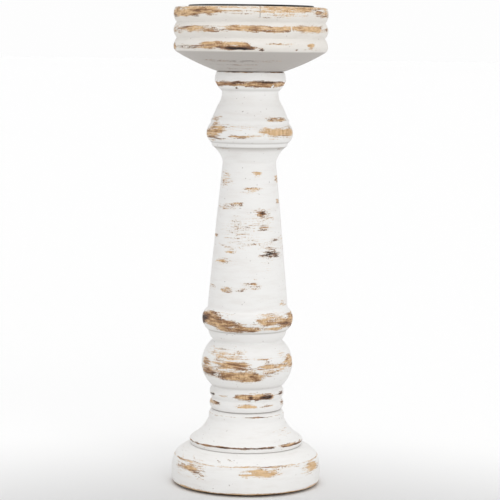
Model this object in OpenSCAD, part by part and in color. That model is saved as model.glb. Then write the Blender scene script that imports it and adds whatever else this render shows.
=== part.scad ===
// Turned wooden candlestick in a worn white finish, with a black steel candle pan.
// Millimetres, +Z up. The origin is on the axis, on the surface that the foot stands on.

/* [Foot felt] */
// Thickness of the felt disc under the foot
felt_t = 1.2; // [0.8:0.1:2]
// Diameter of the felt disc
felt_d = 90; // [70:1:92]

/* [Plinth] */
// Largest diameter of the plinth
plinth_d = 98; // [97.6:0.2:106]
// Diameter of the plinth just above its bottom edge
plinth_foot_d = 97.2; // [95:0.1:97.4]
// Diameter of the arris between the plinth's side and its shoulder
plinth_arris_d = 94.2; // [93:0.1:96]
// Rounding of the plinth's bottom edge
plinth_ease = 1.6; // [0.6:0.1:2]
// Height of the plinth's upright side
plinth_side_h = 18.2; // [16:0.2:22]
// Height of the plinth's rounded shoulder
shoulder_h = 6.5; // [5:0.1:9]
// Diameter of the flat seat on top of the plinth
plinth_top_d = 73; // [72:0.5:74]
// Outward swell of the shoulder
shoulder_bow = 1.2; // [0.9:0.1:1.8]

/* [Base moulding] */
// Diameter of the moulding's sharp edge
moulding_d = 74.6; // [74:0.2:80]
// Height of the undercut below that edge
undercut_h = 3.1; // [2:0.1:4]
// Height of the rounded slope above that edge
slope_h = 2.6; // [1.6:0.1:3.2]
// Diameter where the rounded slope turns into the hollow sweep
slope_d = 70.4; // [68:0.2:72]
// Height of the hollow sweep
sweep_h = 11.8; // [10:0.2:16]
// Diameter at the top of the hollow sweep
sweep_top_d = 49.6; // [48:0.2:52]
// Depth of the hollow sweep below its chord
sweep_hollow = 1.3; // [1:0.1:2.6]
// Height of the plain collar above the sweep
moulding_collar_h = 3; // [1:0.2:5]
// Height of the chamfer that ends the moulding
moulding_chamfer_h = 3; // [2:0.2:5]

/* [Lower stem] */
// Diameter at the bottom of every groove of the lower stem
groove_d = 45.2; // [44:0.2:46.4]
// Largest diameter of the two small beads
small_bead_d = 48.8; // [48:0.2:52]
// Height of one small bead
small_bead_h = 7.6; // [6:0.05:10]
// Number of small beads
small_bead_count = 2; // [1:1:3]
// Largest diameter of the ball
ball_d = 59.7; // [56:0.5:66]
// Height of the ball between its grooves
ball_h = 30.6; // [26:0.1:38]
// Height of the rounded band above the ball
band_h = 6.8; // [4:0.2:8]
// Diameter at the top of the rounded band
band_d = 51.6; // [50:0.2:54]
// Largest diameter of the ring
ring_d = 59.6; // [57:0.5:66]
// Height of the ring
ring_h = 14.4; // [12:0.1:18]

/* [Upper stem] */
// Diameter at the foot of the tapered column
column_foot_d = 52.6; // [50:0.2:55]
// Diameter at the head of the tapered column
column_head_d = 34.8; // [30:0.2:40]
// Height of the tapered column
column_h = 95; // [60:0.2:150]
// Height of the hollow cove above the column
cove_h = 10.9; // [8:0.1:14]
// Diameter of the fillet below the large bead
lower_fillet_d = 49.4; // [48:0.2:53]
// Height of the fillet below the large bead
lower_fillet_h = 1.6; // [0.8:0.1:3]
// Largest diameter of the large bead
bead_d = 56.4; // [54:0.2:62]
// Height of the large bead
bead_h = 12.8; // [10:0.2:16]
// Diameter of the fillet above the large bead
upper_fillet_d = 51; // [48:0.2:53]
// Height of the fillet above the large bead
upper_fillet_h = 2.4; // [1:0.1:4]
// Height of the sloping neck
neck_h = 18.4; // [12:0.2:30]
// Smallest diameter of the neck
neck_d = 36.6; // [32:0.2:38]
// Height of the collar under the cup
collar_h = 12.8; // [9:0.1:16]
// Largest diameter of the collar
collar_d = 46.3; // [45:0.2:48]
// Diameter of the collar's top face
collar_top_d = 43.8; // [42:0.2:44.6]

/* [Cup] */
// Largest diameter of the cup
cup_d = 100.2; // [98:0.2:106]
// Diameter of the cup's underside where it meets the collar
cup_foot_d = 43.4; // [43:0.2:44.8]
// Height of the cup's sloping underside
cup_cone_h = 12.4; // [8:0.1:20]
// Height of one of the cup's three beads, groove to groove
cup_bead_h = 10.1; // [8:0.05:13]
// Depth of the grooves between the cup's beads
cup_groove = 2.2; // [1:0.1:3]

/* [Candle pan] */
// Outer diameter of the pan's rolled rim
pan_rim_d = 81.4; // [81:0.1:84]
// Outer diameter of the pan's wall
pan_d = 80; // [79:0.1:80.2]
// Thickness of the pan's sheet steel
pan_t = 0.8; // [0.6:0.1:1]
// Height of the pan from its underside to the top of its rim
pan_h = 7.2; // [7:0.1:9]
// Depth of the recess that holds the pan
recess_depth = 6; // [5:0.1:6]
// Play between the pan and the recess, all round
recess_play = 0.4; // [0.3:0.1:0.5]

/* [Joinery] */
// Diameter of the stem's tenons
tenon_d = 20; // [16:0.5:22]
// Length of the tenon in the cup
top_tenon_l = 16; // [10:0.5:18]
// Space left past the end of each tenon
tenon_gap = 0.6; // [0.3:0.1:1]
// Diameter of the wood screws
screw_d = 4.8; // [4:0.1:5]
// Length of the wood screws
screw_l = 60; // [50:1:70]
// Diameter of the countersunk head of the cup's screw
csk_head_d = 9.6; // [9:0.1:10.4]
// Diameter of the pan head of the base's screw
pan_head_d = 9.4; // [9:0.1:10]
// Height of the pan head of the base's screw
pan_head_h = 3.2; // [2.8:0.1:3.6]
// Diameter of the washer under that head
washer_d = 15; // [13:0.5:16]
// Thickness of the washer
washer_t = 1.2; // [1:0.1:1.6]
// Diameter of the counterbore in the plinth
counterbore_d = 17; // [17:0.5:20]
// Depth of the counterbore in the plinth
counterbore_depth = 8; // [7:0.5:10]

/* [Hidden] */

// Facets of round forms, straight pieces of each arc, and a cut past a face
round_fn = 120;
arc_steps = 10;
cut = 1;

// Colours
white_paint = "whitesmoke";
steel_black = "black";
zinc = "silver";
felt_brown = "saddlebrown";

// The cup's underside cuts its lowest bead short by this much, and its rim cuts the top bead short
cup_arris_drop = 1.2;
rim_drop = 0.2;

// Heights, from the surface upwards
plinth_z = felt_t;
shoulder_z = plinth_z + plinth_side_h;
moulding_z = shoulder_z + shoulder_h;
moulding_edge_z = moulding_z + undercut_h;
slope_z = moulding_edge_z + slope_h;
sweep_top_z = slope_z + sweep_h;
stem_z = sweep_top_z + moulding_collar_h + moulding_chamfer_h;
ball_z = stem_z + small_bead_count * small_bead_h;
band_z = ball_z + ball_h;
ring_z = band_z + band_h;
column_z = ring_z + ring_h;
cove_z = column_z + column_h;
lower_fillet_z = cove_z + cove_h;
bead_z = lower_fillet_z + lower_fillet_h;
upper_fillet_z = bead_z + bead_h;
neck_z = upper_fillet_z + upper_fillet_h;
collar_z = neck_z + neck_h;
cup_z = collar_z + collar_h;
cup_arris_z = cup_z + cup_cone_h;
cup_grooves_z = cup_arris_z + cup_bead_h - cup_arris_drop;
rim_z = cup_grooves_z + 2 * cup_bead_h - rim_drop;
recess_z = rim_z - recess_depth;

// Part of the plinth's side that lies below its widest place
side_swell_at = 0.45;
// Undercut behind the moulding's sharp edge
undercut = 1.1;
// Outward swell of the slope above that edge, and of the chamfer that ends the moulding
slope_bow = 0.4;
chamfer_bow = 0.3;
// Distance of the ring's foot outside the band
ring_foot = 0.6;
// Part of the ring's height that lies below its widest place
ring_widest_at = 0.52;
// Swell of the rounded band and of the column
band_bow = 0.7;
column_bow = 0.15;
// Hollows of the cove and of the neck
cove_hollow = 1.3;
neck_hollow = 0.8;
// Part of the neck's height that is hollow, and its diameter where the hollow ends
neck_hollow_at = 0.5;
neck_middle_d = 42.2;
// Rounding of the shoulder at the foot of the neck
neck_ease = 0.8;
// Part of the collar's height below its widest place
collar_widest_at = 0.52;
// Outward swell of the collar's lower part
collar_bow = 0.5;
// Outward swell of the cup's underside
cone_bow = 0.8;
// Rise from the cup's lower arris to the widest place of its lowest bead
cup_low_bead_rise = 3.4;
// Inset of the cup's lower arris
cup_arris_inset = 1.7;
// The top bead stays nearly upright above its widest place up to its rounded edge
rim_inset = 0.5;
rim_ease = 1.2;

// Screw heads and drives
csk_head_h = (csk_head_d - screw_d) / 2;
csk_sink = 0.4;
shank_play = 0.4;
drive_w = 1.1;
drive_l = 5;
drive_depth = 1.6;
tip_l = 7;
shank_bore_d = screw_d + shank_play;

// Places of the joinery
moulding_bore_h = stem_z - moulding_z;
bottom_tenon_l = moulding_bore_h - tenon_gap;
bottom_tenon_z = stem_z - bottom_tenon_l;
washer_z = plinth_z + counterbore_depth - washer_t;
csk_top_z = recess_z - csk_sink;

// Rise of the arc between p and q that stands upright at the wider of the two
function upright_rise(p, q) =
    norm(q - p) / 2 * tan(atan2(abs(q[0] - p[0]), abs(q[1] - p[1])) / 2);

// Rise of a quarter circle of this radius over its chord
function quarter_rise(radius) = radius * (1 - sqrt(0.5));

// Points after p of the arc from p up to q that stands out from its chord by rise
function bow(p, q, rise, steps = arc_steps) =
    let (
        chord = norm(q - p),
        along = (q - p) / chord,
        outward = [along[1], -along[0]],
        half = 2 * atan(2 * abs(rise) / chord),
        radius = chord / 2 / sin(half),
        flat = radius * cos(half),
        way = sign(rise)
    )
    [for (i = [1 : steps])
        let (angle = half * (2 * i / steps - 1))
        (p + q) / 2 + along * radius * sin(angle) + outward * way * (radius * cos(angle) - flat)];

// Points after p of a bead from p over its widest point m to q
function belly(p, m, q) =
    concat(bow(p, m, upright_rise(p, m)), bow(m, q, upright_rise(m, q)));

// A turned solid: its outline runs upwards from the axis at z_low to the axis at z_high
module turned(outline, z_low, z_high)
    rotate_extrude($fn = round_fn)
        polygon(concat([[0, z_low]], outline, [[0, z_high]]));

// An upright bore or peg
module bore(d, z_low, z_high)
    translate([0, 0, z_low])
        cylinder(d = d, h = z_high - z_low, $fn = round_fn);

// Felt disc glued under the plinth, over its counterbore
module felt_disc()
    color(felt_brown)
        bore(felt_d, 0, felt_t);

// Outline of the plinth
plinth_foot = [plinth_foot_d / 2 - plinth_ease, plinth_z];
plinth_low = [plinth_foot_d / 2, plinth_z + plinth_ease];
plinth_wide = [plinth_d / 2, plinth_z + side_swell_at * plinth_side_h];
plinth_arris = [plinth_arris_d / 2, shoulder_z];
plinth_seat = [plinth_top_d / 2, moulding_z];
plinth_outline = concat(
    [plinth_foot],
    bow(plinth_foot, plinth_low, upright_rise(plinth_foot, plinth_low), arc_steps / 2),
    belly(plinth_low, plinth_wide, plinth_arris),
    bow(plinth_arris, plinth_seat, shoulder_bow)
);

// Lower disc of the base, counterbored from below for the long screw
module plinth()
    color(white_paint)
        difference() {
            turned(plinth_outline, plinth_z, moulding_z);
            bore(counterbore_d, plinth_z - cut, plinth_z + counterbore_depth);
            bore(shank_bore_d, plinth_z, moulding_z + cut);
        }

// Outline of the base moulding
moulding_foot = [moulding_d / 2 - undercut, moulding_z];
moulding_edge = [moulding_d / 2, moulding_edge_z];
slope_top = [slope_d / 2, slope_z];
sweep_top = [sweep_top_d / 2, sweep_top_z];
moulding_collar = [sweep_top_d / 2, sweep_top_z + moulding_collar_h];
moulding_head = [groove_d / 2, stem_z];
moulding_outline = concat(
    [moulding_foot, moulding_edge],
    bow(moulding_edge, slope_top, slope_bow, arc_steps / 2),
    bow(slope_top, sweep_top, -sweep_hollow),
    [moulding_collar],
    bow(moulding_collar, moulding_head, chamfer_bow, arc_steps / 2)
);

// Upper disc of the base, bored through for the tenon of the stem
module base_moulding()
    color(white_paint)
        difference() {
            turned(moulding_outline, moulding_z, stem_z);
            bore(tenon_d, moulding_z - cut, stem_z + cut);
        }

// Outline of one of the small beads
function small_bead(i) =
    let (
        low = [groove_d / 2, stem_z + i * small_bead_h],
        high = low + [0, small_bead_h]
    )
    bow(low, high, (small_bead_d - groove_d) / 2);

// Outline of the stem from its foot to the top face of its collar
stem_foot = [groove_d / 2, stem_z];
ball_low = [groove_d / 2, ball_z];
ball_high = [groove_d / 2, band_z];
band_high = [band_d / 2, ring_z];
ring_low = band_high + [ring_foot, 0];
ring_wide = [ring_d / 2, ring_z + ring_widest_at * ring_h];
column_low = [column_foot_d / 2, column_z];
column_high = [column_head_d / 2, cove_z];
cove_high = [lower_fillet_d / 2, lower_fillet_z];
bead_low = [lower_fillet_d / 2, bead_z];
bead_wide = [bead_d / 2, bead_z + bead_h / 2];
bead_high = [upper_fillet_d / 2, upper_fillet_z];
neck_low = [upper_fillet_d / 2, neck_z];
neck_middle = [neck_middle_d / 2, collar_z - neck_hollow_at * neck_h];
neck_high = [neck_d / 2, collar_z];
collar_wide = [collar_d / 2, collar_z + collar_widest_at * collar_h];
collar_high = [collar_top_d / 2, cup_z];
stem_outline = concat(
    [stem_foot],
    [for (i = [0 : small_bead_count - 1]) each small_bead(i)],
    bow(ball_low, ball_high, (ball_d - groove_d) / 2, 2 * arc_steps),
    bow(ball_high, band_high, band_bow),
    [ring_low],
    belly(ring_low, ring_wide, column_low),
    bow(column_low, column_high, column_bow),
    bow(column_high, cove_high, -cove_hollow),
    [bead_low],
    belly(bead_low, bead_wide, bead_high),
    [neck_low - [0, neck_ease]],
    bow(neck_low - [0, neck_ease], neck_low + [-neck_ease, neck_ease], neck_ease / 3, arc_steps / 2),
    [neck_middle],
    bow(neck_middle, neck_high, -neck_hollow),
    bow(neck_high, collar_wide, collar_bow),
    bow(collar_wide, collar_high, upright_rise(collar_wide, collar_high))
);

// Turned stem, with a round tenon and a screw hole at each end
module stem()
    color(white_paint)
        difference() {
            union() {
                turned(stem_outline, stem_z, cup_z);
                bore(tenon_d, bottom_tenon_z, stem_z + cut);
                bore(tenon_d, cup_z - cut, cup_z + top_tenon_l);
            }
            bore(screw_d, bottom_tenon_z - cut, washer_z + screw_l + cut);
            bore(screw_d, csk_top_z - screw_l - cut, cup_z + top_tenon_l + cut);
        }

// Outline of the cup from its foot to its rim
cup_foot = [cup_foot_d / 2, cup_z];
cup_arris = [cup_d / 2 - cup_arris_inset, cup_arris_z];
cup_low_wide = [cup_d / 2, cup_arris_z + cup_low_bead_rise];
cup_groove_low = [cup_d / 2 - cup_groove, cup_grooves_z];
cup_groove_high = cup_groove_low + [0, cup_bead_h];
cup_rim_wide = [cup_d / 2, cup_grooves_z + 1.5 * cup_bead_h];
cup_rim_edge = [cup_d / 2 - rim_inset, rim_z - rim_ease];
cup_rim = [cup_d / 2 - rim_inset - rim_ease, rim_z];
cup_outline = concat(
    [cup_foot],
    bow(cup_foot, cup_arris, cone_bow),
    belly(cup_arris, cup_low_wide, cup_groove_low),
    bow(cup_groove_low, cup_groove_high, cup_groove),
    belly(cup_groove_high, cup_rim_wide, cup_rim_edge),
    bow(cup_rim_edge, cup_rim, rim_ease / 3, arc_steps / 2)
);

// Turned cup, with a recess for the pan above and a mortise for the tenon below
module cup()
    color(white_paint)
        difference() {
            turned(cup_outline, cup_z, rim_z);
            bore(pan_d + 2 * recess_play, recess_z, rim_z + cut);
            bore(tenon_d, cup_z - cut, cup_z + top_tenon_l + tenon_gap);
            bore(shank_bore_d, cup_z, rim_z);
            countersink();
        }

// Cone of the countersunk head, with its wide face at z = 0
module csk_cone()
    translate([0, 0, -csk_head_h])
        cylinder(d1 = screw_d, d2 = csk_head_d, h = csk_head_h, $fn = round_fn);

// Seat of the countersunk head in the cup's floor, open upwards
module countersink()
    translate([0, 0, csk_top_z]) {
        csk_cone();
        bore(csk_head_d, 0, cut);
    }

// Cross drive cut into a screw head whose face lies at z = 0, looking up
module cross_drive()
    for (turn = [0, 90])
        rotate([0, 0, turn])
            translate([-drive_l / 2, -drive_w / 2, -drive_depth])
                cube([drive_l, drive_w, drive_depth + cut]);

// Shank of a wood screw that points down from z = 0, with its pointed tip
module shank()
    rotate_extrude($fn = round_fn)
        polygon([[0, 0], [screw_d / 2, 0], [screw_d / 2, tip_l - screw_l], [0, -screw_l]]);

// Countersunk screw down through the cup's floor into the stem
module cup_screw()
    color(zinc)
        translate([0, 0, csk_top_z])
            difference() {
                union() {
                    shank();
                    csk_cone();
                }
                cross_drive();
            }

// Washer under the head of the base's screw
module base_washer()
    color(zinc)
        difference() {
            bore(washer_d, washer_z, washer_z + washer_t);
            bore(shank_bore_d, washer_z - cut, washer_z + washer_t + cut);
        }

// Pan-head screw up through the plinth into the stem
module base_screw()
    color(zinc)
        translate([0, 0, washer_z])
            mirror([0, 0, 1])
                difference() {
                    union() {
                        shank();
                        bore(pan_head_d, 0, pan_head_h);
                    }
                    translate([0, 0, pan_head_h])
                        cross_drive();
                }

// Outline of the pan's section: floor, round corner, wall and rolled rim
pan_corner = 2;
rim_roll = (pan_rim_d - pan_d) / 2 + pan_t;
pan_top_z = recess_z + pan_h;
pan_outer = pan_d / 2;
pan_inner = pan_outer - pan_t;
pan_corner_out = [pan_outer - pan_corner, recess_z];
pan_wall_out = [pan_outer, recess_z + pan_corner];
pan_corner_in = [pan_outer - pan_corner, recess_z + pan_t];
pan_wall_in = [pan_inner, recess_z + pan_corner];
rim_low = pan_top_z - rim_roll / 2;

// Pressed steel pan that drops into the recess and catches the wax
module candle_pan()
    color(steel_black)
        rotate_extrude($fn = round_fn)
            polygon(concat(
                [[0, recess_z], pan_corner_out],
                bow(pan_corner_out, pan_wall_out, quarter_rise(pan_corner)),
                [[pan_outer, rim_low], [pan_rim_d / 2, rim_low]],
                bow([pan_rim_d / 2, rim_low], [pan_inner, rim_low], rim_roll / 2),
                reverse(concat([pan_corner_in],
                    bow(pan_corner_in, pan_wall_in, quarter_rise(pan_corner - pan_t)))),
                [[0, recess_z + pan_t]]
            ));

// The points of a list in the other order
function reverse(points) = [for (i = [len(points) - 1 : -1 : 0]) points[i]];

felt_disc();
plinth();
base_moulding();
base_screw();
base_washer();
stem();
cup();
cup_screw();
candle_pan();
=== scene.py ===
"""A turned wooden candlestick in a worn white finish, dressed and lit for a studio picture.

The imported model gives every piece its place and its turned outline. Each wooden piece is turned again
here as a fine mesh, with the paint rubbed through to the stain and the bare wood where hands and sandpaper
reach. Lengths in the classes are millimetres; meshes are metres. A bearing is an angle about the axis, in
degrees from the front, positive towards the right.
"""

import logging
import math
from dataclasses import dataclass
from enum import Enum

import bmesh
import bpy
import numpy as np
from mathutils import Matrix, Vector


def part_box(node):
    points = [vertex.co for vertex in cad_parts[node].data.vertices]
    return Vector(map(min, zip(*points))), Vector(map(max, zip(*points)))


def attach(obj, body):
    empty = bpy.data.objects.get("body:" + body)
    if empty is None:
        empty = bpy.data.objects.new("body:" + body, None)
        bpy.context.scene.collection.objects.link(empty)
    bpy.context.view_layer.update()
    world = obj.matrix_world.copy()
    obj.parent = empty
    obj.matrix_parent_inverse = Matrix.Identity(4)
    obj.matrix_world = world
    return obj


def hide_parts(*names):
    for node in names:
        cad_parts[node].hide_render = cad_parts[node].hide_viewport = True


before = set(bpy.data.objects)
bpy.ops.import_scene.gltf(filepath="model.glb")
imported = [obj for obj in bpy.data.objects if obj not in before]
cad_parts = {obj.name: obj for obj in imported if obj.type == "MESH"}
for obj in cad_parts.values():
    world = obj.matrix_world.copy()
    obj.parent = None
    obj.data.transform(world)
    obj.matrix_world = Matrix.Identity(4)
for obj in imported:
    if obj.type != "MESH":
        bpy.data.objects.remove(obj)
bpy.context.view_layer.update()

MM = 0.001
HALF_TURN = 180.0
FULL_TURN = 360.0
STAND = "candlestick"
PAN = "pan"

log = logging.getLogger("candlestick")


class Grain(Enum):
    """The way the wood's grain runs in a turned piece."""

    ALONG_AXIS = (900.0, 900.0, 45.0)
    ACROSS = (45.0, 700.0, 900.0)


class Tone(Enum):
    """How dark the wood is where the paint has gone: 0 is bare and tan, 1 is black with stain."""

    BARE = 0.0
    WARM = 0.25
    MIXED = 0.45
    BROWN = 0.7
    BLACK = 1.0


@dataclass(frozen=True)
class Worn:
    """A worn place in the paint, between two heights and two bearings.

    Attributes:
        low: Height of its lower edge.
        high: Height of its upper edge.
        left: Bearing of its left end.
        right: Bearing of its right end.
        tone: How dark the wood shows inside it.
        strength: Share of the paint that has gone at its middle, from 0 to 1.
        foot: How much darker it is along its lower edge.
        slope: How far it climbs towards the right, in millimetres for each degree.
    """

    low: float
    high: float
    left: float
    right: float
    tone: Tone = Tone.WARM
    strength: float = 1.0
    foot: float = 0.0
    slope: float = 0.0


@dataclass(frozen=True)
class Drip:
    """A thick blob of paint that sanding has left standing.

    Attributes:
        height: Height of its middle.
        bearing: Bearing of its middle.
        tall: Half of its height.
        wide: Half of its width.
        rise: How far it stands out.
    """

    height: float
    bearing: float
    tall: float
    wide: float
    rise: float = 0.3


@dataclass(frozen=True)
class Crest:
    """A bead, edge or length that wears all round, between two heights.

    Attributes:
        low: Lower edge of the worn band.
        high: Upper edge of the worn band.
        count: Number of worn places on the side away from the front.
        strength: How thoroughly the paint goes there.
        tall: Height of one worn place, or 0 where it fills the band.
        wide: Widest half of one worn place, in degrees.
    """

    low: float
    high: float
    count: int
    strength: float = 0.8
    tall: float = 0.0
    wide: float = 26.0

    # Bearing at which the far side starts, and how far round it reaches
    FAR_FROM = 95
    FAR_SPAN = 170
    # Tones of the places there, each as likely as the next, and how much darker they are at the foot
    TONES = (Tone.BARE, Tone.WARM, Tone.WARM, Tone.MIXED, Tone.BROWN)
    FOOT = 0.25

    def place(self, part: int, rng: np.random.Generator) -> Worn:
        """One worn place on the far side.

        Args:
            part: Its number, from the right round to the left.
            rng: The piece's random numbers.

        Returns:
            The worn place.
        """
        middle = self.FAR_FROM + self.FAR_SPAN * (part + rng.uniform(0.1, 0.9)) / self.count
        half = rng.uniform(0.25, 1.0) * self.wide
        tall = (self.tall or 0.8 * (self.high - self.low)) * rng.uniform(0.6, 1.1)
        low = rng.uniform(self.low, max(self.high - tall, self.low))
        tone = self.TONES[rng.integers(len(self.TONES))]
        strength = min(self.strength * rng.uniform(0.5, 1.1), 1.0)
        return Worn(low, low + tall, middle - half, middle + half, tone, strength, self.FOOT)


def linear(red: int, green: int, blue: int) -> tuple[float, float, float, float]:
    """A display colour, from 0 to 255, as the linear colour that shaders use.

    Args:
        red: Red level.
        green: Green level.
        blue: Blue level.

    Returns:
        Linear red, green, blue and an alpha of one.
    """

    def channel(level: int) -> float:
        """One level made linear."""
        share = level / 255
        return share / 12.92 if share <= 0.04045 else ((share + 0.055) / 1.055) ** 2.4

    return channel(red), channel(green), channel(blue), 1.0


def smooth_step(low: float, high: float, value: np.ndarray) -> np.ndarray:
    """Zero below low, one above high, and a smooth rise between them.

    Args:
        low: Where the rise starts.
        high: Where the rise ends.
        value: The values to map.

    Returns:
        The mapped values.
    """
    share = np.clip((value - low) / (high - low), 0, 1)
    return share * share * (3 - 2 * share)


def drift(rng: np.random.Generator, shape: tuple[int, int], rows: float, columns: float) -> np.ndarray:
    """Smooth noise on a turned grid, seamless round the axis, with a spread of one.

    Args:
        rng: The source of random numbers.
        shape: Rows along the outline and columns round the axis.
        rows: Size of its blots along the outline, in rows.
        columns: Size of its blots round the axis, in columns.

    Returns:
        The noise, one value for each grid point.
    """
    count, around = shape
    white = rng.standard_normal((2 * count, around))
    row_waves = np.fft.fftfreq(2 * count)[:, None]
    column_waves = np.fft.fftfreq(around)[None, :]
    keep = np.exp(-2 * math.pi**2 * ((row_waves * rows) ** 2 + (column_waves * columns) ** 2))
    noise = np.fft.ifft2(np.fft.fft2(white) * keep).real[:count]
    return (noise - noise.mean()) / noise.std()


def turn_between(bearing: np.ndarray, middle: float) -> np.ndarray:
    """How far each bearing lies from a middle one, from minus to plus half a turn."""
    return (bearing - middle + HALF_TURN) % FULL_TURN - HALF_TURN


def steps_along(line: np.ndarray) -> np.ndarray:
    """Distances between neighbouring points of a line."""
    return np.linalg.norm(np.diff(line, axis=0), axis=1)


def points_at(places: np.ndarray, measure: np.ndarray, line: np.ndarray) -> np.ndarray:
    """Points of a line at given places along it.

    Args:
        places: Where the new points lie, on the scale of the measure.
        measure: The measure at each point of the line, rising along it.
        line: Radius and height of each point of the line.

    Returns:
        Radius and height of each new point.
    """
    return np.stack([np.interp(places, measure, line[:, side]) for side in (0, 1)], axis=1)


@dataclass
class Outline:
    """The section of a turned piece on one side of its axis.

    Attributes:
        points: Radius and height of each point, in millimetres, with the solid on the left of the way.
        closed: True where the outline never meets the axis, as on a ring.
    """

    points: np.ndarray
    closed: bool

    # Angle about the axis at which a CAD node is cut, clear of the seams of its faces
    CUT_ANGLE = 0.0123
    # Closest spacing of two points, and the step of the fine line that is smoothed, in millimetres
    WELD = 1e-3
    FINE_STEP = 0.08

    @classmethod
    def of_node(cls, node: str) -> "Outline":
        """Cut a CAD node through its axis and follow the cut.

        Args:
            node: Name of the CAD node.

        Returns:
            The node's outline.
        """
        solid = bmesh.new()
        solid.from_mesh(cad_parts[node].data)
        bmesh.ops.remove_doubles(solid, verts=solid.verts[:], dist=cls.WELD * MM)
        outward = Vector((math.cos(cls.CUT_ANGLE), math.sin(cls.CUT_ANGLE), 0))
        across = Vector((-outward.y, outward.x, 0))
        # The first cut puts points on the axis, and the second is the section itself
        for normal in (outward, across):
            everything = solid.verts[:] + solid.edges[:] + solid.faces[:]
            found = bmesh.ops.bisect_plane(solid, geom=everything, plane_co=(0, 0, 0), plane_no=normal)
        links: dict[tuple[float, float], set[tuple[float, float]]] = {}
        for edge in (item for item in found["geom_cut"] if isinstance(item, bmesh.types.BMEdge)):
            ends = [cls._spot(vert.co, outward) for vert in edge.verts]
            if min(end[0] for end in ends) < -cls.WELD or ends[0] == ends[1]:
                continue
            links.setdefault(ends[0], set()).add(ends[1])
            links.setdefault(ends[1], set()).add(ends[0])
        solid.free()
        return cls._followed(links)

    @classmethod
    def _spot(cls, place: Vector, outward: Vector) -> tuple[float, float]:
        """Radius and height of a cut point, rounded so that shared points agree, with no minus zero."""
        return round(place.dot(outward) / MM, 3) + 0.0, round(place.z / MM, 3) + 0.0

    @classmethod
    def _followed(cls, links: dict[tuple[float, float], set[tuple[float, float]]]) -> "Outline":
        """Walk the cut from end to end, or once round.

        Args:
            links: The neighbours of each cut point.

        Returns:
            The outline, turned so that the solid lies on its left.
        """
        ends = sorted(spot for spot, near in links.items() if len(near) == 1)
        closed = not ends
        start = min(links) if closed else ends[0]
        walk = [start]
        previous = None
        while True:
            onward = sorted(spot for spot in links[walk[-1]] if spot != previous)
            if not onward or onward[0] == start:
                break
            previous = walk[-1]
            walk.append(onward[0])
        points = np.array(walk)
        radius, height = points[:, 0], points[:, 1]
        turned = np.sum(radius * np.roll(height, -1) - np.roll(radius, -1) * height)
        return cls(points if turned > 0 else points[::-1], closed)

    def eased(self, blur: float) -> "Outline":
        """The outline as a fine line with its corners rounded.

        Args:
            blur: How far the rounding reaches along the line, in millimetres.

        Returns:
            The rounded outline.
        """
        loop = self._loop()
        lengths = np.concatenate([[0], np.cumsum(steps_along(loop))])
        count = max(int(lengths[-1] / self.FINE_STEP), 8)
        at = np.linspace(0, lengths[-1], count, endpoint=not self.closed)
        fine = points_at(at, lengths, loop)
        reach = int(3 * blur / self.FINE_STEP)
        weights = np.exp(-0.5 * (np.arange(-reach, reach + 1) * self.FINE_STEP / blur) ** 2)
        weights /= weights.sum()
        if self.closed:
            padded = np.vstack([fine[-reach:], fine, fine[:reach]])
        else:
            before = 2 * fine[0] - fine[reach:0:-1]
            after = 2 * fine[-1] - fine[-2 : -reach - 2 : -1]
            padded = np.vstack([before, fine, after])
        smooth = np.stack([np.convolve(padded[:, side], weights, "valid") for side in (0, 1)], axis=1)
        return Outline(smooth, self.closed)

    def stationed(self, shown: np.ndarray, near: float, far: float) -> "Outline":
        """The outline with close stations where it shows and wide ones where it is hidden.

        Args:
            shown: True for each point that shows.
            near: Spacing of the stations where it shows.
            far: Spacing where it is hidden.

        Returns:
            The outline through its stations.
        """
        loop = self._loop()
        seen = np.append(shown, shown[0])[1:] if self.closed else shown[1:]
        density = np.concatenate([[0], np.cumsum(steps_along(loop) / np.where(seen, near, far))])
        count = max(int(round(density[-1])), 3)
        at = np.linspace(0, density[-1], count + (0 if self.closed else 1), endpoint=not self.closed)
        return Outline(points_at(at, density, loop), self.closed)

    def _loop(self) -> np.ndarray:
        """The points, with the first one again at the end where the outline is closed."""
        return np.vstack([self.points, self.points[:1]]) if self.closed else self.points

    def outward(self) -> np.ndarray:
        """Unit directions square to the outline, away from the solid.

        Returns:
            Radius and height of each direction.
        """
        if self.closed:
            way = np.roll(self.points, -1, axis=0) - np.roll(self.points, 1, axis=0)
        else:
            way = np.gradient(self.points, axis=0)
        way /= np.maximum(np.linalg.norm(way, axis=1, keepdims=True), 1e-9)
        return np.stack([way[:, 1], -way[:, 0]], axis=1)


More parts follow.
